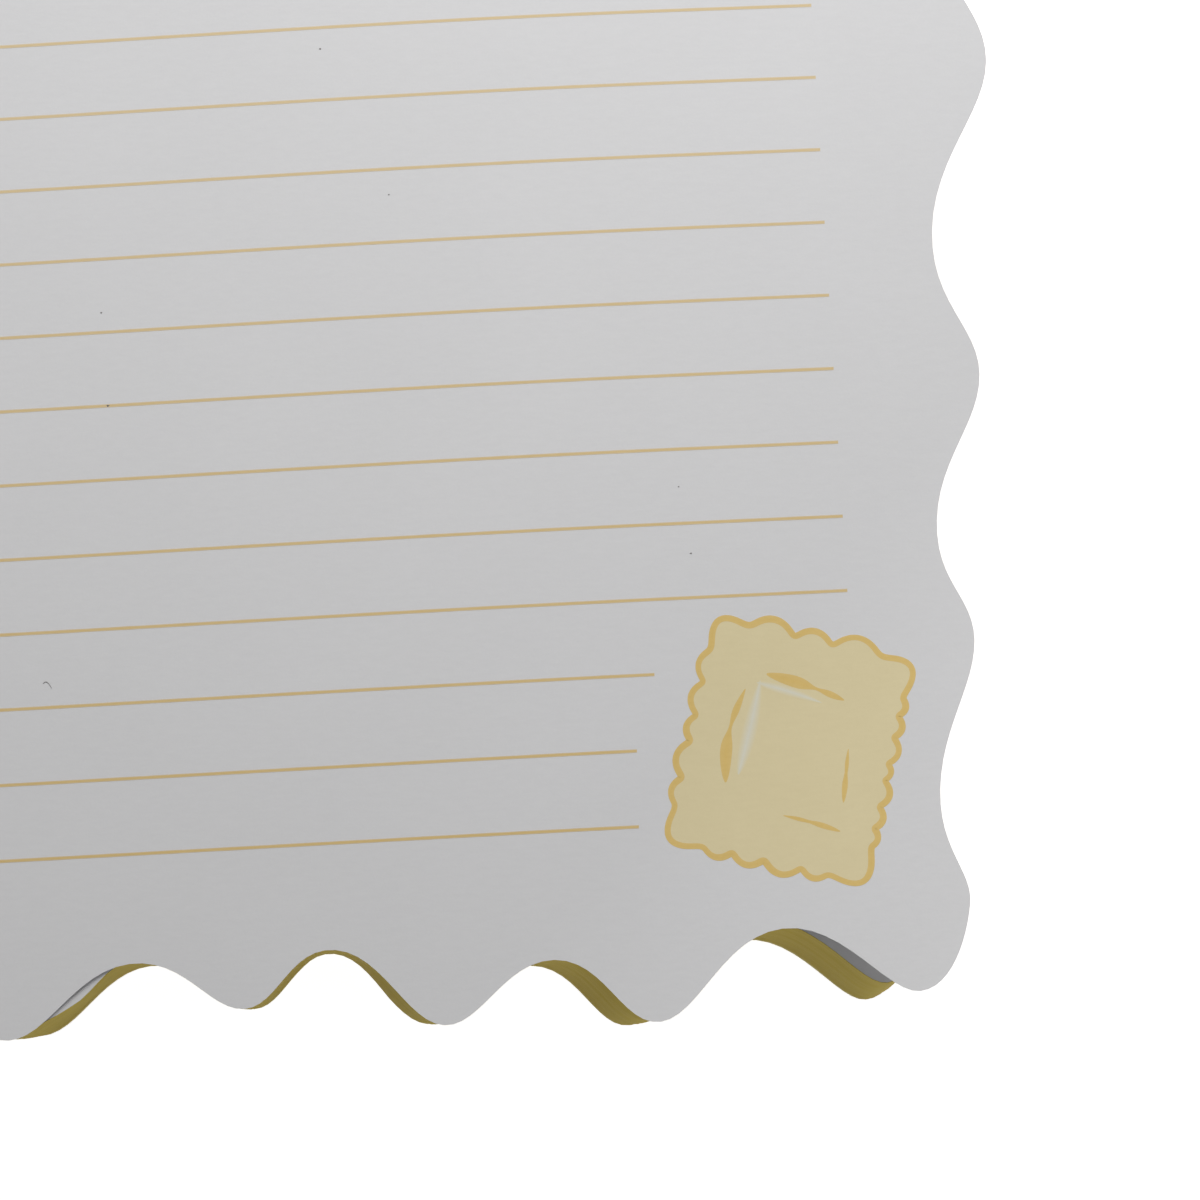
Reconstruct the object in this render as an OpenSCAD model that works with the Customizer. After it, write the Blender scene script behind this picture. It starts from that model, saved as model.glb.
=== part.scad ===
// Notebook with a wavy die-cut edge, lying open at its first ruled page.
// The book lies on its back cover. The front cover has swung over to the left and rests on the table.
// X runs from the spine to the fore edge, Y from the foot of the page to its head, and Z points up.
// The origin is the middle of the page outline on the underside of the back cover. Lengths are in millimetres.

/* [Page outline] */
// Width of a page from the spine edge to the furthest lobe of the fore edge
page_w = 148; // [120:1:180]
// Height of a page from the foot lobes to the head lobes
page_h = 176; // [140:1:210]
// Spacing of the lobes along the foot and the head
foot_pitch = 21; // [16:0.5:30]
// Spacing of the lobes along the fore edge
fore_pitch = 26.4; // [18:0.2:36]
// Depth of the dips along the foot and the head
foot_depth = 6.5; // [3:0.25:8]
// Depth of the dips along the fore edge
fore_depth = 5.5; // [3:0.25:8]
// How far the middle of the fore edge bows out beyond its corners
fore_bow = 7; // [0:0.5:10]
// Width of a corner lobe, from its foot or head tip to its fore edge tip
corner_run = 6; // [4:0.5:10]
// Height of a corner lobe, from its foot or head tip to its fore edge tip
corner_drop = 9; // [6:0.5:12]
// Distance from the spine edge to the nearest foot or head tip
spine_corner = 9; // [6:0.5:14]
// How broad and round the dips are, where 1 makes them like the tips
dip_round = 1.4; // [0.8:0.1:1.6]

/* [Covers and binding] */
// Thickness of the card of both covers and of the spine
card_t = 1.5; // [1:0.1:3]
// Thickness of the glue between the pages and the spine card
glue_t = 0.8; // [0.4:0.1:2]
// Open crease between the spine card and the front cover
crease_gap = 0.3; // [0.2:0.05:1]
// Height of the crease line above the top of the spine card
crease_rise = 0.2; // [0.1:0.05:1]

/* [Page block] */
// Thickness of the page block at the fore edge, with its first leaf
block_t = 27.5; // [16:0.5:34]
// How much thinner the glued spine side of the block is
spine_dip = 6; // [2:0.25:9]
// Distance from the spine edge over which the block stays thin
dip_flat = 16; // [8:1:40]
// Distance over which the block rises from thin to full thickness
dip_roll = 90; // [40:1:92]
// Thickness of the loose first leaf
leaf_t = 0.3; // [0.1:0.05:0.6]
// Thickness of the colour on the cut edges
paint_t = 0.3; // [0.1:0.05:0.6]
// Height that the first leaf would reach at a square corner
curl_lift = 7; // [2:0.5:9]
// Length of the curled corner, measured back from a square corner
curl_reach = 35; // [25:1:40]
// Direction in which the corner curls, turned from the X axis towards the foot
curl_turn = 40; // [30:1:60]

/* [Ruling] */
// Spacing of the ruled lines
line_pitch = 7.1; // [6:0.1:9]
// Number of ruled lines
line_count = 21; // [10:1:21]
// Width of a ruled line
line_w = 0.3; // [0.2:0.05:0.6]
// Height of the lowest ruled line above the foot lobes
foot_margin = 17.2; // [14:0.2:24]
// Distance from the spine edge to the start of the lines
spine_margin = 8; // [5:0.5:15]
// Distance from the end of the lines to the furthest lobe of the fore edge
fore_margin = 16.6; // [15:0.2:24]
// Thickness of the printed ink
ink_t = 0.1; // [0.05:0.05:0.2]

/* [Corner print] */
// Width of the printed square between the centres of its corner scallops
print_w = 16.8; // [12:0.2:18]
// Height of the printed square between the centres of its corner scallops
print_h = 19.8; // [14:0.2:22]
// Number of scallops across the top and the bottom
print_cols = 5; // [4:1:8]
// Number of scallops down each side
print_rows = 6; // [5:1:10]
// Radius of one scallop
scallop_r = 1.9; // [1.7:0.1:2.2]
// Width of the printed outline
print_line = 0.6; // [0.4:0.05:1]
// Tilt of the printed square
print_tilt = -16; // [-25:1:25]
// Distance from the middle of the printed square to the furthest lobe of the fore edge
print_from_fore = 23; // [20:0.2:30]
// Distance from the middle of the printed square to the foot lobes
print_from_foot = 23.6; // [20:0.2:32]
// Space between the printed square and a shortened line beside it
print_space = 4.8; // [3:0.2:8]

/* [Hidden] */

$fn = 48;
// Points along the outline from one tip or dip to the next
wave_steps = 8;
// Flat facets along the rise of the block and along the curl
roll_steps = 12;
curl_steps = 8;
// More than any edge of the part reaches
beyond = 2 * page_h;

// Small moves of each tip and dip, as [along, outwards], that give the outline its hand-cut look.
// They start at the tip of a corner lobe and run towards the spine, or up the fore edge.
foot_moves = [[0.25, -0.5], [-1.25, -0.5], [-2.5, 1], [-1.5, 1.25], [-1.5, 0.25], [-0.75, -0.75], [1, -2.25],
    [1, -0.5], [0, -0.5]];
fore_moves = [[-0.75, -0.5], [-3, 1.75], [-2.25, -1.25], [-3.75, 0.25], [-3, -1.5], [-2, -0.5], [1.25, 0],
    [2, 1.25]];

// Places on the page
spine_x = -page_w / 2;
corner_x = page_w / 2 - fore_bow;
corner_y = page_h / 2 - corner_drop;
first_tip_x = corner_x - corner_run;
foot_span = first_tip_x - spine_x - spine_corner;
foot_lobes = max(2, round(foot_span / foot_pitch));
fore_lobes = max(2, round(2 * corner_y / fore_pitch));

// Levels, and the rise of the block, which ends well before the fore edge
stack_top = card_t + block_t;
spine_top = stack_top - spine_dip;
rise_run = min(dip_roll, page_w - dip_flat - 25);

// The crease line that the front cover turns about
crease_x = spine_x - glue_t - card_t;
crease_z = spine_top + crease_rise;
cover_reach = page_w / 2 - crease_x;
// The open cover leans so that its far edge just reaches the table
cover_lean = asin(crease_z / norm([cover_reach, card_t])) - atan(card_t / cover_reach);

// The line across the page where the corner starts to curl, as a distance along the curl direction
curl_start = corner_x * cos(curl_turn) + page_h / 2 * sin(curl_turn) - curl_reach;
print_x = page_w / 2 - print_from_fore;
print_y = print_from_foot - page_h / 2;

// One move from a list, or none past its end
function move(moves, k) = k < len(moves) ? moves[k] : [0, 0];

// Tips and dips of the foot, from the corner lobe to the spine. side is -1 for the foot and 1 for the head.
function end_knots(side) = [for (k = [0 : 2 * foot_lobes])
    let (m = move(foot_moves, k), dip = k % 2 == 1 ? foot_depth : 0)
    [first_tip_x - foot_span * k / (2 * foot_lobes) + m[0], side * (page_h / 2 - dip + m[1])]];

// Tips and dips of the fore edge, from the foot corner to the head corner
function fore_knots() = [for (k = [0 : 2 * fore_lobes])
    let (m = move(fore_moves, k), dip = k % 2 == 1 ? fore_depth : 0,
         y = corner_y * (k / fore_lobes - 1) + m[0])
    [corner_x + fore_bow * sin(90 * (1 + y / corner_y)) - dip + m[1], y]];

function backwards(list) = [for (k = [len(list) - 1 : -1 : 0]) list[k]];

// All knots, from the foot end of the straight spine edge round to its head end
function knots(edge_x) = concat([[edge_x, 2 - corner_y]], backwards(end_knots(-1)), fore_knots(),
    end_knots(1), [[edge_x, corner_y - 2]]);

// Roundness at the knots of one side with a number of lobes, and at all knots
function side_rounds(lobes) = [for (k = [0 : 2 * lobes]) k % 2 == 1 ? dip_round : 1];
knot_rounds = concat([1], side_rounds(foot_lobes), side_rounds(fore_lobes), side_rounds(foot_lobes), [1]);

// Direction of the curve at a knot: along the chord between its neighbours, and along the spine at both ends
function slope_at(p, k) = k == 0 || k == len(p) - 1 ? [0, -1.5 * spine_corner]
    : knot_rounds[k] * (p[k + 1] - p[k - 1]) / 2;

// Cubic curve between two knots with the given directions at its ends
function blend_point(a, b, da, db, t) = a * (2 * t ^ 3 - 3 * t ^ 2 + 1) + da * (t ^ 3 - 2 * t ^ 2 + t)
    + b * (3 * t ^ 2 - 2 * t ^ 3) + db * (t ^ 3 - t ^ 2);

// The wavy outline as points, closed by the straight spine edge at edge_x
function outline(edge_x) = let (p = knots(edge_x)) concat(
    [for (k = [0 : len(p) - 2], s = [0 : wave_steps - 1])
        blend_point(p[k], p[k + 1], slope_at(p, k), slope_at(p, k + 1), s / wave_steps)],
    [p[len(p) - 1]]);

// The same points moved inwards by a distance, apart from the two ends of the spine edge
function inset(p, d) = [for (k = [0 : len(p) - 1])
    k == 0 || k == len(p) - 1 ? p[k] :
    let (chord = p[k + 1] - p[k - 1], n = [-chord[1], chord[0]] / norm(chord)) p[k] + d * n];

module page_outline() { polygon(outline(spine_x)); }

// The wavy outline reaches to edge_x on the spine side
module cover_outline(edge_x) { polygon(outline(edge_x)); }

// Top of the lying pages at a place across the page: thin at the spine, then a half wave up to full thickness
function page_z(x) = let (d = x - spine_x - dip_flat, t = min(1, max(0, d / rise_run)))
    stack_top - spine_dip * (1 + cos(180 * t)) / 2;

// Places across the page where the facets of the rise meet
function roll_places() = concat([spine_x - card_t],
    [for (k = [0 : roll_steps]) spine_x + dip_flat + rise_run * k / roll_steps], [page_w / 2 + card_t]);

// Height of the curl at a distance past its start
function curl_z(d) = curl_lift * (d / curl_reach) ^ 2;

// Profile from the floor level low up to the pages, moved by rise
module block_profile(low, rise) {
    across = roll_places();
    rotate([90, 0, 0]) linear_extrude(beyond, center = true)
        polygon(concat([[across[0], low]], [for (x = across) [x, page_z(x) + rise]], [[page_w / 2 + card_t, low]]));
}

// Everything under the curled corner of the first leaf, from the floor level low up to the leaf, moved by rise.
// Its first facet runs on down into the lying pages.
module curl_profile(low, rise) {
    step = (curl_reach + foot_depth) / curl_steps;
    rotate([0, 0, -curl_turn]) translate([curl_start, 0, 0]) rotate([90, 0, 0])
        linear_extrude(beyond, center = true)
            polygon(concat([[-step, low], [-step, stack_top - curl_z(step) + rise]],
                [for (k = [0 : curl_steps]) [k * step, stack_top + curl_z(k * step) + rise]],
                [[curl_steps * step, low]]));
}

// Everything from the back cover up to the first leaf, moved by rise
module under_leaf(rise) {
    block_profile(card_t, rise);
    curl_profile(card_t, rise);
}

// Lays a flat drawing on the first leaf, as a layer from low to high above its top
module laid(low, high) {
    intersection() {
        linear_extrude(beyond) children();
        difference() {
            under_leaf(high);
            under_leaf(low);
        }
    }
}

// Scalloped square with circles along its four sides, their radius changed by grow
module scalloped_square(grow) {
    dx = print_w / print_cols;
    dy = print_h / print_rows;
    square([print_w, print_h], center = true);
    for (k = [0 : print_cols], side = [-1, 1])
        translate([k * dx - print_w / 2, side * print_h / 2]) circle(scallop_r + grow);
    for (k = [1 : print_rows - 1], side = [-1, 1])
        translate([side * print_w / 2, k * dy - print_h / 2]) circle(scallop_r + grow);
}

// Slender stroke with two pointed ends, lying along X
module stroke(length, width) {
    r = (length ^ 2 / 4 + width ^ 2 / 4) / width;
    intersection() {
        translate([0, r - width / 2]) circle(r, $fn = 180);
        translate([0, width / 2 - r]) circle(r, $fn = 180);
    }
}

// Puts a drawing at the place and tilt of the corner print
module at_print() { translate([print_x, print_y]) rotate(print_tilt) children(); }

module back_cover() {
    color("khaki") linear_extrude(card_t) cover_outline(crease_x);
}

module spine_cover() {
    color("khaki") translate([crease_x, 2 - corner_y, card_t])
        cube([card_t, 2 * corner_y - 4, spine_top - card_t]);
}

// The same outline as the back cover, swung over to the left about the crease line
module front_cover() {
    color("khaki") translate([crease_x, 0, crease_z]) rotate([0, -cover_lean, 0]) mirror([1, 0, 0])
        translate([-crease_x, 0, -card_t]) linear_extrude(card_t) cover_outline(crease_x + crease_gap);
}

module binding_glue() {
    color("ivory") translate([spine_x - glue_t, 2 - corner_y, card_t])
        cube([glue_t, 2 * corner_y - 4, spine_top - card_t]);
}

// The glued pages as one solid, with the first leaf curling up at the corner
module page_block() {
    color("whitesmoke") {
        intersection() {
            linear_extrude(beyond) polygon(inset(outline(spine_x), paint_t));
            block_profile(card_t, -leaf_t / 2);
        }
        laid(-leaf_t, 0) page_outline();
    }
}

// Colour on the three wavy cut edges, none on the glued spine edge
module painted_edge() {
    outer = outline(spine_x);
    inner = inset(outer, paint_t);
    color("goldenrod") intersection() {
        linear_extrude(beyond) polygon(concat(outer, [for (k = [len(inner) - 2 : -1 : 1]) inner[k]]));
        block_profile(card_t, -leaf_t);
    }
}

// Where a line at a height y ends: at the fore margin, or short of the printed square beside it
function line_end(y) = let (
    side = print_w / 2 + scallop_r + print_space,
    top = (print_h / 2 + scallop_r) * cos(print_tilt) + print_w / 2 * abs(sin(print_tilt)) + line_w)
    y - print_y > top ? page_w / 2 - fore_margin
    : print_x - side * cos(print_tilt) - max(0, y - print_y) * tan(print_tilt);

module ruled_lines() {
    start = spine_x + spine_margin;
    color("sandybrown") laid(0, ink_t) for (k = [0 : line_count - 1]) {
        y = foot_margin - page_h / 2 + k * line_pitch;
        translate([start, y - line_w / 2]) square([line_end(y) - start, line_w]);
    }
}

module print_ground() {
    color("moccasin") laid(0, ink_t) at_print() difference() {
        scalloped_square(-print_line);
        crease_strokes();
        highlight_strokes();
    }
}

module print_outline() {
    color("sandybrown") laid(0, ink_t) at_print() difference() {
        scalloped_square(0);
        scalloped_square(-print_line);
    }
}

// Four strokes round the raised middle, long and full on the left and at the top, short and thin opposite
module crease_strokes() {
    translate([-print_w / 3, 0]) rotate(90) stroke(print_h * 0.45, 0.9);
    translate([0, print_h / 3]) stroke(print_w * 0.45, 0.9);
    translate([print_w / 3, -print_h / 16]) rotate(90) stroke(print_h / 4, 0.5);
    translate([print_w / 5, -print_h / 3]) stroke(print_w / 3, 0.5);
}

// Two pale strokes inside the upper left of the raised middle
module highlight_strokes() {
    translate([1.4 - print_w / 3, print_h / 25]) rotate(90) stroke(print_h * 0.4, 0.9);
    translate([-print_w / 24, print_h / 3 - 1.2]) stroke(print_w / 3, 0.6);
}

module print_creases() {
    color("sandybrown") laid(0, ink_t) at_print() crease_strokes();
}

module print_highlight() {
    color("cornsilk") laid(0, ink_t) at_print() highlight_strokes();
}

back_cover();
spine_cover();
front_cover();
binding_glue();
page_block();
painted_edge();
ruled_lines();
print_ground();
print_outline();
print_creases();
print_highlight();
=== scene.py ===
# %% [markdown]
# # A thick notebook with a wavy die-cut edge
# The notebook lies open at its first ruled page, and the camera looks down on the lower outer corner of
# that page. The construction comes in as a fixed frame: covers, page block, printed lines, and the hinge
# of the front cover. This script gives each of them its real surface. Shapes are worked out in
# millimetres and stored in metres.

# %% Load the frame
import math

import bpy
import numpy as np
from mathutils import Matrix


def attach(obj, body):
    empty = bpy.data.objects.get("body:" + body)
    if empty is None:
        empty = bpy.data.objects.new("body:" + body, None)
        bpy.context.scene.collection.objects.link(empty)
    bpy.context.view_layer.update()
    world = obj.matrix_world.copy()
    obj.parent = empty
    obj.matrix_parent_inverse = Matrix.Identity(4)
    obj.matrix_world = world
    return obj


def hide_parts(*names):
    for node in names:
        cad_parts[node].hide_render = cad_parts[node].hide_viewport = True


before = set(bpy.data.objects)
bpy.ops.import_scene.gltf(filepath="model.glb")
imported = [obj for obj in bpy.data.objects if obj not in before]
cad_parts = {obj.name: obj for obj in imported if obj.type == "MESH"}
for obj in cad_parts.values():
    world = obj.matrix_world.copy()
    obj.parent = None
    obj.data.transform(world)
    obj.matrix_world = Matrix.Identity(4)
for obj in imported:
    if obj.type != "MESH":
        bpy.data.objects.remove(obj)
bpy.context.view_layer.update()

# %% [markdown]
# ## Camera
# The camera stands almost straight above the corner of the page. It is made first, because every later
# choice is judged through it. The lens is long, so the walls of the page block show only as a narrow
# band.

# %% Make the camera
camera_data = bpy.data.cameras.new("view_from_above")
camera_data.lens = 114
camera_data.sensor_width = 36
camera_data.clip_start = 0.01
camera = bpy.data.objects.new("view_from_above", camera_data)
camera.location = (0.011588, -0.092228, 0.383019)
camera.rotation_euler = [math.radians(a) for a in (7.079, -3.248, -3.052)]
bpy.context.scene.collection.objects.link(camera)
bpy.context.scene.camera = camera
print("camera at", [round(c, 4) for c in camera.location])

# %% [markdown]
# ## The wavy outline
# A steel die cuts covers and pages in one stroke, so one outline serves all of them. It could be drawn by
# hand with a Bezier curve. Here it is a cubic curve through alternating tips and dips, because then the
# same rule gives any number of points, evenly spread, which the surfaces below need. Small moves of the
# tips keep its hand-cut look.

# %% Sizes of the page and its outline
MM = 0.001
PAGE_W, PAGE_H = 148.0, 176.0
SPINE_X, CORNER_X, CORNER_Y = -74.0, 67.0, 79.0
SPINE_SHORT = 2.0       # the straight spine edge stops this far short of the corners
FIRST_TIP_X, FOOT_SPAN = 61.0, 126.0
FOOT_DEPTH, FORE_DEPTH, FORE_BOW = 6.5, 5.5, 7.0
KNOTS = 13              # seven tips and six dips on each wavy side
STEPS = 12              # points from each knot to the next
SPINE_RUN = 13.5        # strength of the curve's direction where it meets the spine
DIP_ROUND = 1.4
FOOT_MOVES, FORE_MOVES = np.zeros((2, KNOTS, 2))
FOOT_MOVES[:9] = [[0.25, -0.5], [-1.25, -0.5], [-2.5, 1], [-1.5, 1.25], [-1.5, 0.25], [-0.75, -0.75],
                  [1, -2.25], [1, -0.5], [0, -0.5]]
FORE_MOVES[:8] = [[-0.75, -0.5], [-3, 1.75], [-2.25, -1.25], [-3.75, 0.25], [-3, -1.5], [-2, -0.5],
                  [1.25, 0], [2, 1.25]]
ROUNDS = np.concatenate([[1], np.tile(np.where(np.arange(KNOTS) % 2, DIP_ROUND, 1), 3), [1]])


def outline_knots(edge_x):
    """Tips and dips, from the spine along the foot, up the fore edge and back along the head. A tip lies
    on the page edge and a dip lies its depth inside it; the fore edge bows out as a half sine."""
    k = np.arange(KNOTS)
    dip = k % 2
    foot_x = FIRST_TIP_X - FOOT_SPAN * k / (KNOTS - 1) + FOOT_MOVES[:, 0]
    foot_y = PAGE_H / 2 - FOOT_DEPTH * dip + FOOT_MOVES[:, 1]
    fore_y = CORNER_Y * (2 * k / (KNOTS - 1) - 1) + FORE_MOVES[:, 0]
    bow = FORE_BOW * np.sin(np.pi / 2 * (1 + fore_y / CORNER_Y))
    fore_x = CORNER_X + bow - FORE_DEPTH * dip + FORE_MOVES[:, 1]
    foot, fore, head = (np.stack(pair, 1) for pair in ((foot_x, -foot_y), (fore_x, fore_y), (foot_x, foot_y)))
    start, end = [[edge_x, SPINE_SHORT - CORNER_Y]], [[edge_x, CORNER_Y - SPINE_SHORT]]
    return np.concatenate([start, foot[::-1], fore, head, end])


def wavy_side(edge_x):
    """Cubic curve through the knots: a(2t3-3t2+1) + da(t3-2t2+t) + b(3t2-2t3) + db(t3-t2), where the
    direction at a knot is half the chord between its neighbours, longer at a dip to make it round, and
    runs along the spine at both ends."""
    p = outline_knots(edge_x)
    d = np.empty_like(p)
    d[1:-1] = (p[2:] - p[:-2]) / 2
    d[0] = d[-1] = (0, -SPINE_RUN)
    d *= ROUNDS[:, None]
    t = (np.arange(STEPS) / STEPS)[None, :, None]
    curve = (p[:-1, None] * (2 * t**3 - 3 * t**2 + 1) + d[:-1, None] * (t**3 - 2 * t**2 + t)
             + p[1:, None] * (3 * t**2 - 2 * t**3) + d[1:, None] * (t**3 - t**2))
    return np.concatenate([curve.reshape(-1, 2), p[-1:]])


ACROSS = 27 * STEPS // 2 + 1      # points along the foot, up to the middle of the corner lobe
UP = KNOTS * STEPS + 1            # points along the fore edge
WAVY = 40 * STEPS + 1             # points along all three wavy sides


def page_loop(edge_x=SPINE_X, inset=0.0):
    """The closed outline, counterclockwise from the foot of the spine: the wavy sides, then the straight
    spine edge in equal steps. An inset moves each point inwards, at right angles to the line through its
    neighbours."""
    wavy = wavy_side(edge_x)
    y = np.linspace(wavy[-1, 1], wavy[0, 1], UP)[1:-1]
    loop = np.concatenate([wavy, np.stack([np.full(UP - 2, edge_x), y], 1)])
    chord = np.roll(loop, -1, 0) - np.roll(loop, 1, 0)
    inwards = np.stack([-chord[:, 1], chord[:, 0]], 1) / np.linalg.norm(chord, axis=1, keepdims=True)
    return loop + inset * inwards


page = page_loop()
print("outline of", len(page), "points,", np.ptp(page, 0).round(1), "mm")

# %% [markdown]
# ## Surfaces inside the outline
# A page could be filled with one many-sided face, but that can't bend. Here it is a patch: a grid whose
# rows and columns run from edge to edge and take over the waves of the nearer edge. Such a grid bends and
# curls cleanly.

# %% Patches, walls and closed slabs


def patch(loop):
    """Grid of points inside a closed outline. Each point is the mix of foot and head across, plus the mix
    of spine and fore edge up, less the mix of the four corners (a Coons patch)."""
    foot, fore = loop[:ACROSS], loop[ACROSS - 1:ACROSS + UP - 1]
    head = loop[ACROSS + UP - 2:2 * ACROSS + UP - 2][::-1]
    spine = np.concatenate([loop[2 * ACROSS + UP - 3:], loop[:1]])[::-1]
    u = np.linspace(0, 1, ACROSS)[None, :, None]
    v = np.linspace(0, 1, UP)[:, None, None]
    return ((1 - v) * foot[None] + v * head[None] + (1 - u) * spine[:, None] + u * fore[:, None]
            - (1 - v) * ((1 - u) * foot[0] + u * foot[-1]) - v * ((1 - u) * head[0] + u * head[-1]))


def grid_faces(ids, wrap=False):
    """Four-sided faces between neighbouring rows and columns of a table of point numbers."""
    after = np.roll(ids, -1, 1) if wrap else ids[:, 1:]
    here = ids if wrap else ids[:, :-1]
    return np.stack([here[:-1], after[:-1], after[1:], here[1:]], -1).reshape(-1, 4)


def closed_slab(rings, top_z, bottom_z):
    """A slab between two patches. Rings run down its rim, from the edge of the upper patch to that of the
    lower one, and the heights of the patches come from two functions of the place on the page."""
    count = rings.shape[1]
    ids = np.arange(ACROSS * UP).reshape(UP, ACROSS)
    edge = np.concatenate([ids[0, :-1], ids[:-1, -1], ids[-1, :0:-1], ids[:0:-1, 0]])
    upper, lower = patch(rings[0, :, :2]), patch(rings[-1, :, :2])
    upper = np.dstack([upper, top_z(upper[..., 0], upper[..., 1])]).reshape(-1, 3)
    lower = np.dstack([lower, bottom_z(lower[..., 0], lower[..., 1])]).reshape(-1, 3)
    start = ids.size
    middle = start + np.arange((len(rings) - 2) * count).reshape(-1, count)
    base = start + middle.size
    rim = np.concatenate([edge[None], middle, base + edge[None]])
    faces = np.concatenate([grid_faces(ids), grid_faces(rim, wrap=True)[:, ::-1],
                            base + grid_faces(ids)[:, ::-1]])
    return np.concatenate([upper, rings[1:-1].reshape(-1, 3), lower]), faces


def tube(rows, wrap=False):
    """Faces round cross-sections of equal numbers of points, closed at both ends or joined into a ring.
    Rows are (section, point, 3); a closed end is one many-sided face."""
    sections, count = rows.shape[:2]
    ids = np.arange(sections * count).reshape(sections, count)
    if wrap:
        ids = np.concatenate([ids, ids[:1]])
    faces = grid_faces(ids, wrap=True).tolist()
    if not wrap:
        faces += [ids[0, ::-1].tolist(), ids[-1].tolist()]
    return faces


SHARP = math.radians(40)          # an edge that turns by more than this is shaded as an edge


def add_piece(name, points, faces, body, stands_for=()):
    """Turns points in millimetres and faces into an object at the origin that rides on a body."""
    mesh = bpy.data.meshes.new(name)
    mesh.from_pydata((np.asarray(points) * MM).tolist(), [], [list(f) for f in faces])
    mesh.polygons.foreach_set("use_smooth", np.ones(len(mesh.polygons), bool))
    mesh.set_sharp_from_angle(angle=SHARP)
    mesh.update()
    piece = bpy.data.objects.new(name, mesh)
    bpy.context.scene.collection.objects.link(piece)
    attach(piece, body)
    if stands_for:
        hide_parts(*stands_for)
    print(f"{name}: {len(mesh.vertices)} points, {len(mesh.polygons)} faces")
    return piece


def joined(tubes, wrap=False):
    """Points and faces of several tubes as those of one mesh."""
    points, faces, start = [], [], 0
    for rows in tubes:
        points.append(rows.reshape(-1, 3))
        faces += [[start + i for i in face] for face in tube(rows, wrap)]
        start += len(points[-1])
    return np.concatenate(points), faces


def add_value(piece, name, values):
    """Stores one number for each point, for the material to read."""
    attribute = piece.data.attributes.new(name, "FLOAT", "POINT")
    attribute.data.foreach_set("value", np.asarray(values, np.float32).ravel())


# %% [markdown]
# ## How the pages lie
# The block is thinner where it is glued, so the lying pages rise from the spine in a half wave. The first
# leaf has come loose at its lower outer corner and curls up there, like the end of a roll.

# %% Heights of the pages
CARD, STACK_TOP, SPINE_DIP = 1.5, 29.0, 6.0
RISE_START, RISE_LENGTH = 18.0, 100.0                 # from the spine, and across the page
CREASE_X, CREASE_Z, LEAN = -76.3, 23.2, math.radians(8.307)
CURL_TURN, CURL_REACH, CURL_RISE = math.radians(40), 35.0, 6.9
CURL_START = CORNER_X * math.cos(CURL_TURN) + PAGE_H / 2 * math.sin(CURL_TURN) - CURL_REACH


def lying_z(x, y):
    """Height of the lying pages: flat, less the dip times half of one plus the cosine of how far they
    have risen."""
    t = np.clip((x - SPINE_X - RISE_START) / RISE_LENGTH, 0, 1)
    return STACK_TOP - SPINE_DIP * (1 + np.cos(np.pi * t)) / 2


def leaf_z(x, y):
    """Height of the first leaf: the lying pages, plus a square law past the line where the corner starts
    to curl."""
    d = np.clip(x * math.cos(CURL_TURN) - y * math.sin(CURL_TURN) - CURL_START, 0, None)
    return lying_z(x, y) + CURL_RISE * (d / CURL_REACH) ** 2


places = ((SPINE_X, 0), (0, 0), (63, -87))
print("leaf at the spine, the middle and the corner:", [round(float(leaf_z(*p)), 2) for p in places])

# %% [markdown]
# ## The first leaf
# It is one sheet of writing paper, 0.13 mm thick. A plane with a Solidify modifier would do as well; the
# closed slab keeps every point on the formula, so that the ink can follow the same surface exactly.

# %% Make the first leaf
LEAF = 0.13


def ring_at(loop, height):
    """An outline lifted to a height that may change from point to point."""
    return np.dstack([loop[None], np.broadcast_to(height, (1, len(loop)))])


rings = np.concatenate([ring_at(page, leaf_z(*page.T)), ring_at(page, leaf_z(*page.T) - LEAF)])
points, faces = closed_slab(rings, leaf_z, lambda x, y: leaf_z(x, y) - LEAF)
first_leaf = add_piece("first_leaf", points, faces, "book")

# %% [markdown]
# ## The page block
# Some 270 leaves lie under it. Modelling each would add nothing that an eye can see, so the block is one
# solid whose wall is built up in levels. Each level is slid by a few hundredths of a millimetre, because
# cut leaves never stay in perfect register. In use the pile has also crept by about a millimetre along
# the foot, one way near the table and another at the top, so that slivers of the next page look out from
# under the first leaf.

# %% Say how the pile has crept
# Each row is a place across the page, and how far the pile has moved there to the right and to the head.
CREEP_TOP = np.array([[-20.1, 0, 0], [-18.4, 0.5, -0.45], [-16.8, 0.8, -0.7], [-15.5, 0.65, -0.6],
                      [-14.1, 0.35, -0.3], [-12.4, 0, 0], [38, 0, 0.3], [46, -1.1, 0.4], [54, -2.0, 0.6],
                      [64, -2.4, 1.0]])
CREEP_FOOT = np.array([[-20, 1.0, 0.5], [-8, 0.3, 0.3], [4, 0, 0.3], [14, -1.3, 0.5], [36, -1.0, 0],
                       [62, -0.8, -0.2]])
CREEP_START, CREEP_LENGTH = 45.0, 25.0                # towards the foot
GLUE_HOLD = 20.0                                      # how far from the spine the glue still holds the leaves
GAP, HANG, HANG_X, HANG_WIDTH = 0.15, 0.2, -16.0, 4.0
HANG_START, HANG_LENGTH = 62.0, 22.0


def held_free(loop):
    """0 at the glued spine and 1 past the reach of the glue, rising evenly."""
    return np.clip((loop[:, 0] - SPINE_X) / GLUE_HOLD, 0, 1)


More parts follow.
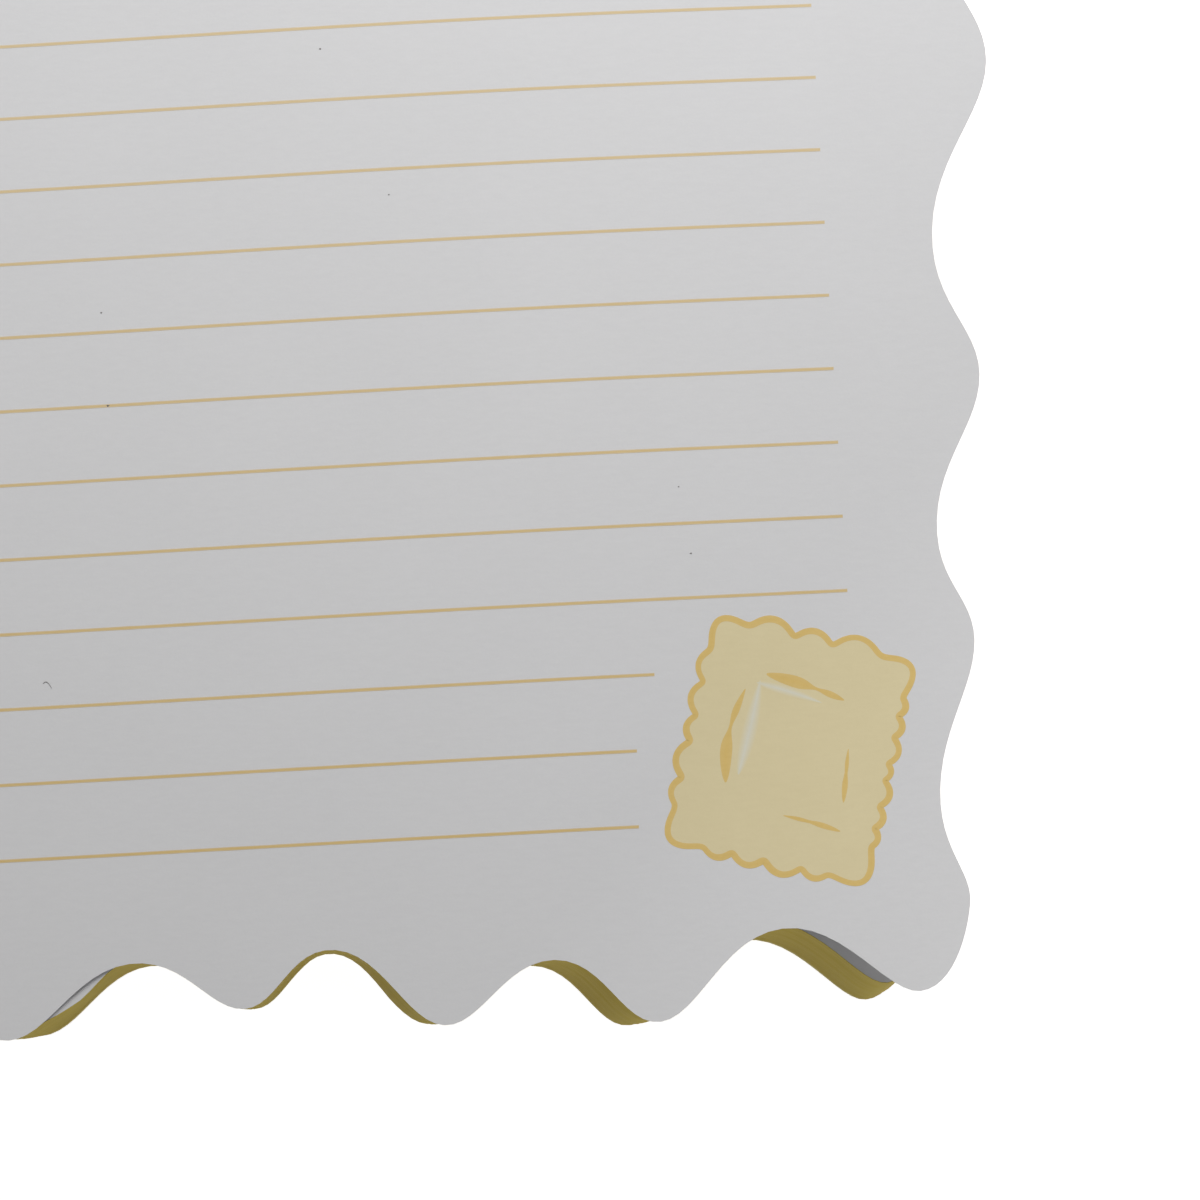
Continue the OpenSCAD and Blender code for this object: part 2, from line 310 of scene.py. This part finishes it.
def crept(loop, depth):
    """The outline of a leaf at a depth from 0, on top, to 1, on the table: each point moves by the mix of
    both rows, times the square of how near the foot it is, times how far from the glued spine."""
    near = np.clip((-loop[:, 1] - CREEP_START) / CREEP_LENGTH, 0, 1) ** 2
    top, foot = (np.stack([np.interp(loop[:, 0], rows[:, 0], rows[:, k]) for k in (1, 2)], 1)
                 for rows in (CREEP_TOP, CREEP_FOOT))
    depth = np.asarray(depth)[..., None, None]
    return loop + (near * held_free(loop))[:, None] * ((1 - depth) * top + depth * foot)


def block_top(x, y):
    """Top of the block: the lying pages less a gap, which opens where the next page hangs a little at the
    foot, as a bell curve across the page times the square of how near the foot is."""
    near = np.clip((-y - HANG_START) / HANG_LENGTH, 0, 1) ** 2
    return lying_z(x, y) - GAP - HANG * near * np.exp(-(((x - HANG_X) / HANG_WIDTH) ** 2))


print("the pile creeps by at most", np.abs(CREEP_TOP[:, 1:]).max(), "mm")

# %% Make the page block and its coloured cut edge
LEVELS, DRIFT, JITTER = 48, 0.025, 0.012
SKIN_OUT, SKIN_IN, PAGES_IN = 0.12, 0.16, 0.17        # insets from the outline
dice = np.random.default_rng(11)
slide = np.cumsum(dice.normal(0, DRIFT, (LEVELS, 2)), 0)
slide -= np.linspace(0, 1, LEVELS)[:, None] * slide[-1]
slide += dice.normal(0, JITTER, (LEVELS, 2))
slide[0] = 0


def block_wall(inset):
    """Levels of the wall from the top leaf down to the cover: the crept outline, slid level by level, at
    heights that run in equal steps from the top of the block to the card."""
    loop, depth = page_loop(inset=inset), np.linspace(0, 1, LEVELS)
    flat = crept(loop, depth) + held_free(loop)[None, :, None] * slide[:, None]
    top = block_top(flat[0, :, 0], flat[0, :, 1])[None]
    return np.dstack([flat, top + (CARD - top) * depth[:, None]])


points, faces = closed_slab(block_wall(PAGES_IN), block_top, lambda x, y: np.full(x.shape, CARD))
next_pages = add_piece("next_pages", points, faces, "book", ("page_block",))

skin = np.concatenate([block_wall(SKIN_OUT), block_wall(SKIN_IN)[::-1]])[:, 1:WAVY - 1].transpose(1, 0, 2)
edge_colour = add_piece("edge_colour", skin.reshape(-1, 3), tube(skin), "book",
                        ("painted_edge",))

# %% [markdown]
# ## Printed lines
# The ruling is offset print in ochre. It could be painted into the paper's material. As thin strips of
# their own the lines stay sharp at any distance and still carry ink texture. They follow the leaf and
# stand 0.01 mm proud of it.

# %% Make the ruled lines
LINE_PITCH, LINE_W, LINE_COUNT = 7.1, 0.32, 21
FOOT_MARGIN, FORE_MARGIN, SPINE_MARGIN = 17.2, 16.6, 8.0
PRINT_X, PRINT_Y, PRINT_TILT = 51.0, -64.4, math.radians(-16)
SHORT_END = 36.5                  # a line beside the print stops here
CLEAR = 14.0                      # a line this far above the middle of the print runs past it
line_y = FOOT_MARGIN - PAGE_H / 2 + LINE_PITCH * np.arange(LINE_COUNT)
line_end = np.where(line_y - PRINT_Y > CLEAR, PAGE_W / 2 - FORE_MARGIN,
                    SHORT_END - np.clip(line_y - PRINT_Y, 0, None) * math.tan(PRINT_TILT))

# Each row of the section of a band is a place across it and a height above the leaf.
SECTION = np.array([[1, 0.01], [0, 0.012], [-1, 0.01], [-1, -0.03], [1, -0.03]])
MIDDLE = [0, 1, 0, 0, 0]


def ink_band(centre, side, half_width):
    """A flat band of ink on the leaf. Centre and side are points and directions on the page; its section
    is a low box from 0.03 mm inside the paper to 0.01 mm above it, with one more point along the middle
    of its top."""
    flat = centre[:, None] + side[..., None, :] * half_width[:, None, None] * SECTION[:, :1]
    return np.concatenate([flat, (leaf_z(flat[..., 0], flat[..., 1]) + SECTION[:, 1])[..., None]], -1)


def add_bands(name, bands, stands_for, wrap=False):
    """Joins several bands of ink into one piece, and notes for each point whether it is on a middle
    line."""
    points, faces = joined(bands, wrap)
    piece = add_piece(name, points, faces, "book", stands_for)
    add_value(piece, "middle", np.tile(MIDDLE, len(points) // len(MIDDLE)))
    return piece


t = np.linspace(0, 1, 90)
lines = []
for y, end in zip(line_y, line_end):
    x = SPINE_X + SPINE_MARGIN + (end - SPINE_X - SPINE_MARGIN) * t
    width = LINE_W / 2 * (1 + 0.06 * np.sin(x * 1.7 + y) * np.sin(x * 0.61 + 2 * y))
    lines.append(ink_band(np.stack([x, np.full_like(x, y)], 1), np.array([[0.0, 1.0]]), width))
ruled_ink = add_bands("ruled_ink", lines, ("ruled_lines",))

# %% [markdown]
# ## The small print in the corner
# A plain square with a scalloped edge, drawn with a soft brush: a pale ground, an ochre outline, a few
# short strokes round the raised middle and a pale highlight. It could be painted into the paper's
# material. Each layer of ink is a thin piece of its own, as it is a plate of its own in print, and the
# strokes swell and thin a little, so that they read as hand-drawn.

# %% Make the ground and the outline of the print
PRINT_W, PRINT_H = 18.2, 20.8     # between opposite dips of its edge
CORNER_CUT = 2.9
LOBE, CORNER_LOBE = 0.33, 0.54    # depth of a lobe for each length of its chord
UNEVEN, SOFTEN = 0.28, 3.7
SCALLOPS = (4, 8, 5, 6)           # dips along the top, the right, the bottom and the left


def on_print(points):
    """Turns a drawing to the tilt of the print and puts it at its place on the page."""
    c, s = math.cos(PRINT_TILT), math.sin(PRINT_TILT)
    return points @ np.array([[c, s], [-s, c]]) + np.array([PRINT_X, PRINT_Y])


def scalloped_edge(steps=40):
    """Closed edge of the print, clockwise. Dips stand along the four sides, a little unevenly. From dip
    to dip runs a lobe, a + (b - a)t plus outwards times sin(pi t) to the power 0.7, deepest round the
    corners; at last a moving average with bell-shaped weights rounds the dips."""
    corners = np.array([[-1, 1], [1, 1], [1, -1], [-1, -1]]) * [PRINT_W / 2, PRINT_H / 2]
    dips, depth = [], []
    for k, count in enumerate(SCALLOPS):
        a, b = corners[k], corners[(k + 1) % 4]
        length = np.linalg.norm(b - a)
        step = np.arange(count)
        at = CORNER_CUT + (length - 2 * CORNER_CUT) * step / (count - 1) + UNEVEN * np.sin(2.4 * step + k)
        dips.append(a + (b - a) * (at / length)[:, None])
        depth.append(np.where(step < count - 1, LOBE, CORNER_LOBE))
    a, depth = np.concatenate(dips), np.concatenate(depth)
    chord = np.roll(a, -1, 0) - a
    out = np.stack([-chord[:, 1], chord[:, 0]], 1) * depth[:, None]
    t = (np.arange(steps) / steps)[None, :, None]
    edge = (a[:, None] + chord[:, None] * t + out[:, None] * np.sin(np.pi * t) ** 0.7).reshape(-1, 2)
    reach = np.arange(-10, 11)
    weights = np.exp(-((reach / SOFTEN) ** 2))
    edge = sum(w * np.roll(edge, -r, 0) for w, r in zip(weights / weights.sum(), reach))
    chord = np.roll(edge, -1, 0) - np.roll(edge, 1, 0)
    return edge, np.stack([-chord[:, 1], chord[:, 0]], 1) / np.linalg.norm(chord, axis=1, keepdims=True)


edge, edge_out = scalloped_edge()
GROUND_RINGS, GROUND_TOP, GROUND_FOOT = 21, 0.006, -0.03
shrink = np.linspace(0, 1, GROUND_RINGS + 1)[1:]
shrink = np.concatenate([shrink, np.linspace(1, 0, GROUND_RINGS + 1)[:-1]])
proud = np.repeat([GROUND_TOP, GROUND_FOOT], GROUND_RINGS)
flat = on_print((edge[None] * shrink[:, None, None]).reshape(-1, 2)).reshape(len(shrink), -1, 2)
ground = np.dstack([flat, leaf_z(flat[..., 0], flat[..., 1]) + proud[:, None]])
ids = np.arange(ground.shape[0] * ground.shape[1]).reshape(ground.shape[:2])
pole = on_print(np.zeros((1, 2)))[0]
poles = [[*pole, leaf_z(*pole) + height] for height in (GROUND_TOP, GROUND_FOOT)]
points = np.concatenate([ground.reshape(-1, 3), poles])
top_fan = np.stack([np.full(ids.shape[1], ids.size), np.roll(ids[0], -1), ids[0]], 1).tolist()
low_fan = np.stack([np.full(ids.shape[1], ids.size + 1), ids[-1], np.roll(ids[-1], -1)], 1).tolist()
yellow_ground = add_piece("yellow_ground", points, grid_faces(ids, wrap=True).tolist() + top_fan + low_fan,
                          "book", ("print_ground",))

turn = np.linspace(0, 2 * np.pi, len(edge), endpoint=False)
BRUSH = 0.3
brush = BRUSH * (1 + 0.08 * np.sin(5 * turn + 1) + 0.05 * np.sin(17 * turn))
band = ink_band(on_print(edge), on_print(edge_out) - on_print(np.zeros((1, 2))), brush)
ochre_outline = add_bands("ochre_outline", [band], ("print_outline",), wrap=True)

# %% Make the strokes and the highlight


def brush_stroke(a, b, bend, width, neck=0.5, thin=0.0, swell=0.0):
    """A stroke from a to b. Its middle line bows sideways by bend, and its half width follows a half sine
    to the power 0.6, less a bell curve at the neck, so that a stroke can have two bellies; swell makes
    the second fuller."""
    t = np.linspace(0.004, 0.996, 60)[:, None]
    a, b = np.array(a, float), np.array(b, float)
    side = np.array([a[1] - b[1], b[0] - a[0]]) / np.linalg.norm(b - a)
    centre = a + (b - a) * t + side * bend * np.sin(np.pi * t)
    half = width / 2 * np.sin(np.pi * t[:, 0]) ** 0.6 * (1 + swell * (t[:, 0] - 0.5))
    half *= 1 - thin * np.exp(-(((t[:, 0] - neck) / 0.14) ** 2))
    return ink_band(on_print(centre), on_print(side[None]) - on_print(np.zeros((1, 2))), half)


creases = [brush_stroke((-3.7, 6.6), (4.0, 5.8), 0.2, 1.15, 0.64, 0.72, -0.3),
           brush_stroke((-5.3, 4.8), (-5.2, -4.3), -0.65, 1.15, 0.42, 0.72, 0.7),
           brush_stroke((5.3, 1.4), (5.9, -3.7), 0.0, 0.55, 0.45, 0.45, 0.6),
           brush_stroke((0.7, -6.1), (6.2, -6.4), 0.1, 0.55, 0.45, 0.45, 0.5)]
ochre_strokes = add_bands("ochre_strokes", creases, ("print_creases",))
glints = [brush_stroke((-4.1, 5.9), (-4.2, -3.3), 0.1, 1.45, swell=0.3),
          brush_stroke((-4.4, 5.6), (2.0, 5.1), 0.1, 0.9, swell=-0.6)]
pale_glints = add_bands("pale_glints", glints, ("print_highlight",))

# %% [markdown]
# ## Specks on the paper
# Writing paper holds a few dark specks of bark, and one loose fibre has settled on this leaf. They could
# be a noise texture with a high threshold, but then they would be everywhere; seven small pieces put them
# where they belong.

# %% Make the specks
# Each row is a place on the page and a radius.
SPECKS = np.array([[10.1, 5.2, 0.10], [16.0, -9.4, 0.08], [-11.8, -19.2, 0.09], [-11.5, -28.2, 0.13],
                   [42.0, -38.9, 0.08], [42.8, -45.3, 0.10]])
HAIR_RADIUS = 0.025
turn = np.linspace(0, 2 * np.pi, 12, endpoint=False)
round_speck = np.stack([np.cos(turn), np.sin(turn) * 0.7], 1)
specks = []
for x, y, r in SPECKS:
    flat = np.array([x, y]) + round_speck * r * (1 + 0.2 * np.sin(3 * turn + x))[:, None]
    z = leaf_z(*flat.T)
    specks.append(np.stack([np.column_stack([flat, z - 0.02]), np.column_stack([flat, z + 0.015])]))
t = np.linspace(0, 1, 14)
hair = np.stack([-18.6 + 0.8 * t, -54.3 - 0.5 * t + 0.35 * np.sin(np.pi * t)], 1)
hair = np.column_stack([hair, leaf_z(*hair.T) + 0.02])
ring = np.stack([np.zeros_like(turn), np.cos(turn), np.sin(turn)], 1) * HAIR_RADIUS
specks.append(hair[:, None] + ring)
points, faces = joined(specks)
paper_specks = add_piece("paper_specks", points, faces, "book")

# %% [markdown]
# ## Covers
# Both covers are 1.5 mm card, cut with the pages by the same die, so their edges are slightly rounded and
# carry the same colour. A cube with a bevel would give the rim; a slab with a rounded profile gives it on
# the wavy outline too.

# %% Make the back cover
ROUND, TRIM, RIM_STEP = 0.3, 0.1, 0.4


def card_rings(edge_x, low, under_pages):
    """Rim of a card, from the upper face round to the lower one: the outline moved in by r(1 - sin a) and
    down by r(1 - cos a) for a quarter turn, then the mirror image of that, with one more ring on each
    face. The card under the pages has crept with them."""
    a = np.linspace(0, np.pi / 2, 5)
    inset = np.concatenate([[ROUND + RIM_STEP], ROUND * (1 - np.sin(a))])
    drop = np.concatenate([[0], ROUND * (1 - np.cos(a))])
    insets, heights = np.append(inset, inset[::-1]), np.append(low + CARD - drop, (low + drop)[::-1])
    loops = [page_loop(edge_x, i + TRIM) for i in insets]
    return np.concatenate([ring_at(crept(p, 1) if under_pages else p, h) for p, h in zip(loops, heights)])


def card_values(piece, rings):
    """For each point of a card: how far it is on the cut rim, and whether it lies on the outside of the
    cover, which is its lower half here."""
    caps = ACROSS * UP
    rim = np.repeat([0, 0.35, 0.8, 1, 1, 1, 1, 0.8, 0.35, 0], rings.shape[1])
    add_value(piece, "cut_rim", np.concatenate([np.zeros(caps), rim, np.zeros(caps)]))
    add_value(piece, "outside", np.repeat([0, 1], caps + rim.size // 2))


rings = card_rings(CREASE_X, 0, True)
points, faces = closed_slab(rings, lambda x, y: np.full(x.shape, CARD), lambda x, y: np.zeros(x.shape))
card_below = add_piece("card_below", points, faces, "book", ("back_cover",))
card_values(card_below, rings)

# %% [markdown]
# ## The front cover
# It has been swung over to the left and rests on the table with its outside down. The back cover's object
# could be copied and turned. It is the same formula instead, mirrored in the crease line and tipped until
# its far edge touches the table, because a finished piece keeps its place in its mesh.

# %% Make the front cover


def swing_open(points):
    """Mirrors a card that lies to the right of the crease, and turns it about the crease line by the
    lean."""
    x, z = CREASE_X - points[:, 0], points[:, 2]
    c, s = math.cos(LEAN), math.sin(LEAN)
    return np.stack([CREASE_X + x * c - z * s, points[:, 1], CREASE_Z + x * s + z * c], 1)


rings = card_rings(CREASE_X + 0.3, -CARD, False)
points, faces = closed_slab(rings, lambda x, y: np.zeros(x.shape), lambda x, y: np.full(x.shape, -CARD))
card_swung_open = add_piece("card_swung_open", swing_open(points), faces[:, ::-1], "cover",
                            ("front_cover",))
card_values(card_swung_open, rings)

# %% [markdown]
# ## Node groups
# Three effects are made once as groups: paper fibres, the layers of a cut pile, and wear along a rim. The
# nodes could be copied into each material. As a group with named inputs, an effect is mended in one
# place, and a material only chooses its own values.

# %% Helpers for node trees


def new_group(name, inputs, outputs):
    """A shader node group. Inputs are (kind, name, value) and outputs are (kind, name)."""
    tree = bpy.data.node_groups.new(name, "ShaderNodeTree")
    for kind, label, value in inputs:
        socket = tree.interface.new_socket(label, in_out="INPUT", socket_type="NodeSocket" + kind)
        if value is not None:
            socket.default_value = value
    for kind, label in outputs:
        tree.interface.new_socket(label, in_out="OUTPUT", socket_type="NodeSocket" + kind)
    return tree, tree.nodes.new("NodeGroupInput"), tree.nodes.new("NodeGroupOutput")


def place(tree, kind, links=None, **settings):
    """Adds a node, sets its properties, and feeds its inputs: a socket is linked and any other value is
    set."""
    node = tree.nodes.new("ShaderNode" + kind)
    for key, value in settings.items():
        setattr(node, key, value)
    for key, value in (links or {}).items():
        if isinstance(value, bpy.types.NodeSocket):
            tree.links.new(value, node.inputs[key])
        else:
            node.inputs[key].default_value = value
    return node


def math_node(tree, operation, a, b=0.0, c=0.0):
    """One sum, product or other operation on up to three values."""
    return place(tree, "Math", {0: a, 1: b, 2: c}, operation=operation).outputs[0]


def mix_colours(tree, share, a, b):
    """Colour a where the share is 0 and colour b where it is 1."""
    return place(tree, "Mix", {0: share, 6: a, 7: b}, data_type="RGBA").outputs[2]


def noise(tree, vector, scale, detail=2.0):
    """Soft random values between 0 and 1, with a scale in patches per metre."""
    return place(tree, "TexNoise", {"Vector": vector, "Scale": scale, "Detail": detail}).outputs["Fac"]


# %% Build the group for paper fibres
fibres, given, made = new_group(
    "paper_fibres", [("Vector", "Place", None), ("Float", "Grain", 4200.0), ("Float", "Cloud", 90.0)],
    [("Float", "Tone"), ("Float", "Height")])
fine = noise(fibres, given.outputs["Place"], given.outputs["Grain"], 3.0)
stretch = place(fibres, "Mapping", {"Vector": given.outputs["Place"], "Scale": (0.3, 1.0, 1.0)}).outputs[0]
felt = noise(fibres, stretch, 2400.0, 3.0)
cloud = noise(fibres, given.outputs["Place"], given.outputs["Cloud"], 2.0)
height = math_node(fibres, "MULTIPLY_ADD", felt, 0.6, math_node(fibres, "MULTIPLY", fine, 0.4))
tone = math_node(fibres, "MULTIPLY_ADD", height, 0.7, math_node(fibres, "MULTIPLY", cloud, 0.3))
fibres.links.new(tone, made.inputs["Tone"])
fibres.links.new(height, made.inputs["Height"])

# %% Build the group for the layers of a cut pile
layers, given, made = new_group(
    "cut_layers", [("Vector", "Place", None), ("Float", "Leaves per metre", 9000.0)],
    [("Float", "Streak"), ("Float", "Height")])
level = place(layers, "Mapping", {"Vector": given.outputs["Place"], "Scale": (0.012, 0.012, 1.0)}).outputs[0]
thin = noise(layers, level, given.outputs["Leaves per metre"], 2.0)
clump = noise(layers, level, 1500.0, 2.0)
patchy = noise(layers, given.outputs["Place"], 160.0, 3.0)
streak = math_node(layers, "MULTIPLY_ADD", thin, 0.4, math_node(layers, "MULTIPLY", clump, 0.35))
streak = math_node(layers, "MULTIPLY_ADD", patchy, 0.25, streak)
layers.links.new(streak, made.inputs["Streak"])
layers.links.new(math_node(layers, "MULTIPLY_ADD", clump, 0.5, thin), made.inputs["Height"])

# %% Build the group for wear along a rim
wear, given, made = new_group(
    "rim_wear", [("Vector", "Place", None), ("Float", "Rim", 0.0), ("Float", "Amount", 0.5)],
    [("Float", "Mask")])
rub = noise(wear, given.outputs["Place"], 420.0, 4.0)
bare = math_node(wear, "ADD", rub, math_node(wear, "MULTIPLY", given.outputs["Rim"], given.outputs["Amount"]))
mask = place(wear, "MapRange", {"Value": bare, "From Min": 0.72, "From Max": 0.86}).outputs[0]
wear.links.new(mask, made.inputs["Mask"])
print("groups:", ", ".join(g.name for g in bpy.data.node_groups))

# %% [markdown]
# ## Materials
# Paper, ink, coloured edges and card are all matt. What tells them apart is fine relief and small changes
# of tone, so each material sets a rough surface and lets the groups vary its colour, roughness and bump.

# %% Helpers for materials


def new_material(name, roughness):
    """A material with one Principled shader, and the object coordinates that its patterns read."""
    material = bpy.data.materials.new(name)
    material.use_nodes = True
    tree = material.node_tree
    shader = tree.nodes["Principled BSDF"]
    shader.inputs["Roughness"].default_value = roughness
    coordinates = tree.nodes.new("ShaderNodeTexCoord").outputs["Object"]
    return material, tree, shader, coordinates


def use_group(tree, group, **values):
    """Places a group in a material; underscores in a name stand for spaces."""
    node = tree.nodes.new("ShaderNodeGroup")
    node.node_tree = group
    for key, value in values.items():
        socket = node.inputs[key.replace("_", " ")]
        if isinstance(value, bpy.types.NodeSocket):
            tree.links.new(value, socket)
        else:
            socket.default_value = value
    return node


def bump(tree, shader, height, strength, distance):
    """Turns a height into relief on the shader."""
    node = place(tree, "Bump", {"Height": height, "Strength": strength, "Distance": distance})
    tree.links.new(node.outputs[0], shader.inputs["Normal"])


def spread_out(tree, mask):
    """Stretches the middle range of a mask, where noise mostly lies, to the whole range from 0 to 1."""
    return place(tree, "MapRange", {"Value": mask, "From Min": 0.3, "From Max": 0.7}).outputs[0]


def tinted(tree, shader, mask, dark, light):
    """Base colour between two close tones, following a mask."""
    colour = mix_colours(tree, spread_out(tree, mask), (*dark, 1), (*light, 1))
    tree.links.new(colour, shader.inputs["Base Color"])


# %% Writing paper
paper, tree, shader, place_on = new_material("writing_paper", 0.85)
shader.inputs["Specular IOR Level"].default_value = 0.25
grain = use_group(tree, fibres, Place=place_on, Grain=4200.0, Cloud=60.0)
tinted(tree, shader, grain.outputs["Tone"], (0.705, 0.702, 0.708), (0.739, 0.736, 0.742))
bump(tree, shader, grain.outputs["Height"], 0.15, 0.00006)

# %% Inks
PAPER_TONE = (0.72, 0.72, 0.725, 1)
GROUND_TONE = (0.763, 0.663, 0.405, 1)
FADE_FROM, FADE_TO = -0.07, 0.0   # the lines blend a little towards the paper tone further up the page


def ink(name, dark, light, cover, under=PAPER_TONE, fade=0.0):
    """A printed ink. It is thinnest at the edges of a stroke, where what lies under it shows through, and the
    cover says how much it hides there. Fade is how far its colour blends towards the paper tone at the head
    of the page."""
    material, tree, shader, place_on = new_material(name, 0.75)
    shader.inputs["Specular IOR Level"].default_value = 0.25
    grain = use_group(tree, fibres, Place=place_on, Grain=4200.0, Cloud=260.0)
    colour = mix_colours(tree, spread_out(tree, grain.outputs["Tone"]), (*dark, 1), (*light, 1))
    if fade:
        up_page = place(tree, "SeparateXYZ", {"Vector": place_on}).outputs["Y"]
        faded = place(tree, "MapRange", {"Value": up_page, "From Min": FADE_FROM, "From Max": FADE_TO,
                                         "To Max": fade}).outputs[0]
        colour = mix_colours(tree, faded, colour, PAPER_TONE)
    middle = place(tree, "Attribute", attribute_name="middle").outputs["Fac"]
    share = place(tree, "MapRange", {"Value": middle, "To Min": cover, "To Max": 1.0}).outputs[0]
    tree.links.new(mix_colours(tree, share, under, colour), shader.inputs["Base Color"])
    bump(tree, shader, grain.outputs["Height"], 0.15, 0.00006)
    return material


ochre = ink("ochre_ink", (0.715, 0.505, 0.16), (0.765, 0.55, 0.195), cover=0.95)
yellow = ink("yellow_ink", (0.745, 0.645, 0.39), (0.78, 0.68, 0.42), cover=1.0)
cream = ink("cream_ink", (0.73, 0.70, 0.57), (0.755, 0.735, 0.62), cover=0.0, under=GROUND_TONE)
line_ink = ink("line_ink", (0.68, 0.48, 0.175), (0.72, 0.52, 0.21), cover=0.7, fade=0.2)

speck_brown, tree, shader, place_on = new_material("speck_brown", 0.8)
grain = use_group(tree, fibres, Place=place_on, Grain=4200.0, Cloud=260.0)
tinted(tree, shader, grain.outputs["Tone"], (0.10, 0.09, 0.09), (0.22, 0.20, 0.19))

# %% Coloured cut edge
edge_paint, tree, shader, place_on = new_material("edge_paint", 0.7)
shader.inputs["Specular IOR Level"].default_value = 0.1
pile = use_group(tree, layers, Place=place_on, Leaves_per_metre=9000.0)
tinted(tree, shader, pile.outputs["Streak"], (0.48, 0.365, 0.055), (0.555, 0.43, 0.075))
bump(tree, shader, pile.outputs["Height"], 0.35, 0.00008)

# %% Cover card
CARD_DARK, CARD_LIGHT = (0.76, 0.58, 0.22), (0.82, 0.65, 0.28)
card, tree, shader, place_on = new_material("cover_card", 0.6)
rim = place(tree, "Attribute", attribute_name="cut_rim").outputs["Fac"]
outside = place(tree, "Attribute", attribute_name="outside").outputs["Fac"]
grain = use_group(tree, fibres, Place=place_on, Grain=1500.0, Cloud=60.0)
pile = use_group(tree, layers, Place=place_on, Leaves_per_metre=5000.0)
rubbed = use_group(tree, wear, Place=place_on, Rim=rim, Amount=0.32)
spread = spread_out(tree, grain.outputs["Tone"])
printed = mix_colours(tree, spread, (*CARD_DARK, 1), (*CARD_LIGHT, 1))
inside = mix_colours(tree, spread, (0.74, 0.71, 0.62, 1), (0.78, 0.75, 0.67, 1))
face = mix_colours(tree, outside, inside, printed)
half_rubbed = math_node(tree, "MULTIPLY", rubbed.outputs["Mask"], 0.5)
face = mix_colours(tree, half_rubbed, face, (0.80, 0.77, 0.68, 1))
cut = mix_colours(tree, pile.outputs["Streak"], (0.46, 0.38, 0.10, 1), (0.60, 0.50, 0.16, 1))
tree.links.new(mix_colours(tree, rim, face, cut), shader.inputs["Base Color"])
tree.links.new(math_node(tree, "MULTIPLY_ADD", grain.outputs["Tone"], 0.2, 0.45), shader.inputs["Roughness"])
bump(tree, shader, grain.outputs["Height"], 0.2, 0.0001)

# %% Spine card and glue
spine_card, tree, shader, place_on = new_material("spine_card", 0.55)
grain = use_group(tree, fibres, Place=place_on, Grain=1500.0, Cloud=60.0)
tinted(tree, shader, grain.outputs["Tone"], CARD_DARK, CARD_LIGHT)
bump(tree, shader, grain.outputs["Height"], 0.2, 0.0001)

glue, tree, shader, place_on = new_material("milky_glue", 0.4)
blobs = noise(tree, place_on, 700.0, 3.0)
tinted(tree, shader, blobs, (0.70, 0.66, 0.54), (0.80, 0.77, 0.66))
bump(tree, shader, blobs, 0.5, 0.0003)

# %% Give every piece its material
for piece, material in ((first_leaf, paper), (next_pages, paper), (edge_colour, edge_paint),
                        (ruled_ink, line_ink), (yellow_ground, yellow), (ochre_outline, ochre),
                        (ochre_strokes, ochre), (pale_glints, cream), (paper_specks, speck_brown),
                        (card_below, card), (card_swung_open, card)):
    piece.data.materials.append(material)
for node, material in (("spine_cover", spine_card), ("binding_glue", glue)):
    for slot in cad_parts[node].material_slots:
        slot.material = material
print("materials:", len(bpy.data.materials))

# %% [markdown]
# ## Light and table
# One large soft lamp stands beyond the head of the page, so the page is brightest at the top and darkest
# at its foot, and the walls that face the reader lie in soft shade. A much weaker one at the foot keeps
# some form in that shade. The table is pale and shows white to the camera, but keeps a faint shadow.

# %% Make the lamp, the sky and the table


def add_lamp(name, place_at, aim, size, power):
    """A square soft lamp at a place, turned towards an aim."""
    data = bpy.data.lights.new(name, "AREA")
    data.size, data.energy = size, power
    lamp = bpy.data.objects.new(name, data)
    lamp.location = place_at
    direction = np.array(aim, float) - np.array(place_at, float)
    direction /= np.linalg.norm(direction)
    lamp.rotation_euler = (0, math.acos(-direction[2]), math.atan2(-direction[1], -direction[0]))
    bpy.context.scene.collection.objects.link(lamp)


add_lamp("soft_box", (0.06, 0.27, 0.27), (0.02, 0.0, 0.03), 0.28, 1.64)
add_lamp("fill_from_the_foot", (0.10, -0.33, 0.14), (0.03, -0.08, 0.01), 0.20, 0.14)


def seen_rays(tree):
    """1 for the rays that can show a background, straight, mirrored or through glass, and 0 for light."""
    path = tree.nodes.new("ShaderNodeLightPath").outputs
    indirect = math_node(tree, "MAXIMUM", path["Is Glossy Ray"], path["Is Transmission Ray"])
    return math_node(tree, "MAXIMUM", path["Is Camera Ray"], indirect)


AMBIENT, TABLE_GLOW, TABLE_SIDE = 0.16, 0.87, 3.0
world = bpy.data.worlds.new("pale_room")
bpy.context.scene.world = world
world.use_nodes = True
tree = world.node_tree
sky = tree.nodes["Background"]
sky.inputs["Color"].default_value = (1, 1, 1, 1)
tree.links.new(math_node(tree, "MULTIPLY_ADD", seen_rays(tree), 1 - AMBIENT, AMBIENT), sky.inputs["Strength"])

corners = [(x * TABLE_SIDE, y * TABLE_SIDE, -0.0001) for x, y in ((-1, -1), (1, -1), (1, 1), (-1, 1))]
table_mesh = bpy.data.meshes.new("table_top")
table_mesh.from_pydata(corners, [], [(0, 1, 2, 3)])
table_top = bpy.data.objects.new("table_top", table_mesh)
bpy.context.scene.collection.objects.link(table_top)
pale, tree, shader, place_on = new_material("pale_table", 0.9)
shader.inputs["Base Color"].default_value = (0.85, 0.85, 0.85, 1)
shader.inputs["Emission Color"].default_value = (1, 1, 1, 1)
glow = math_node(tree, "MULTIPLY", seen_rays(tree), TABLE_GLOW)
tree.links.new(glow, shader.inputs["Emission Strength"])
table_mesh.materials.append(pale)

bpy.context.scene.view_settings.view_transform = "Standard"
print("lamps:", ", ".join(sorted(lamp.name for lamp in bpy.data.lights)))
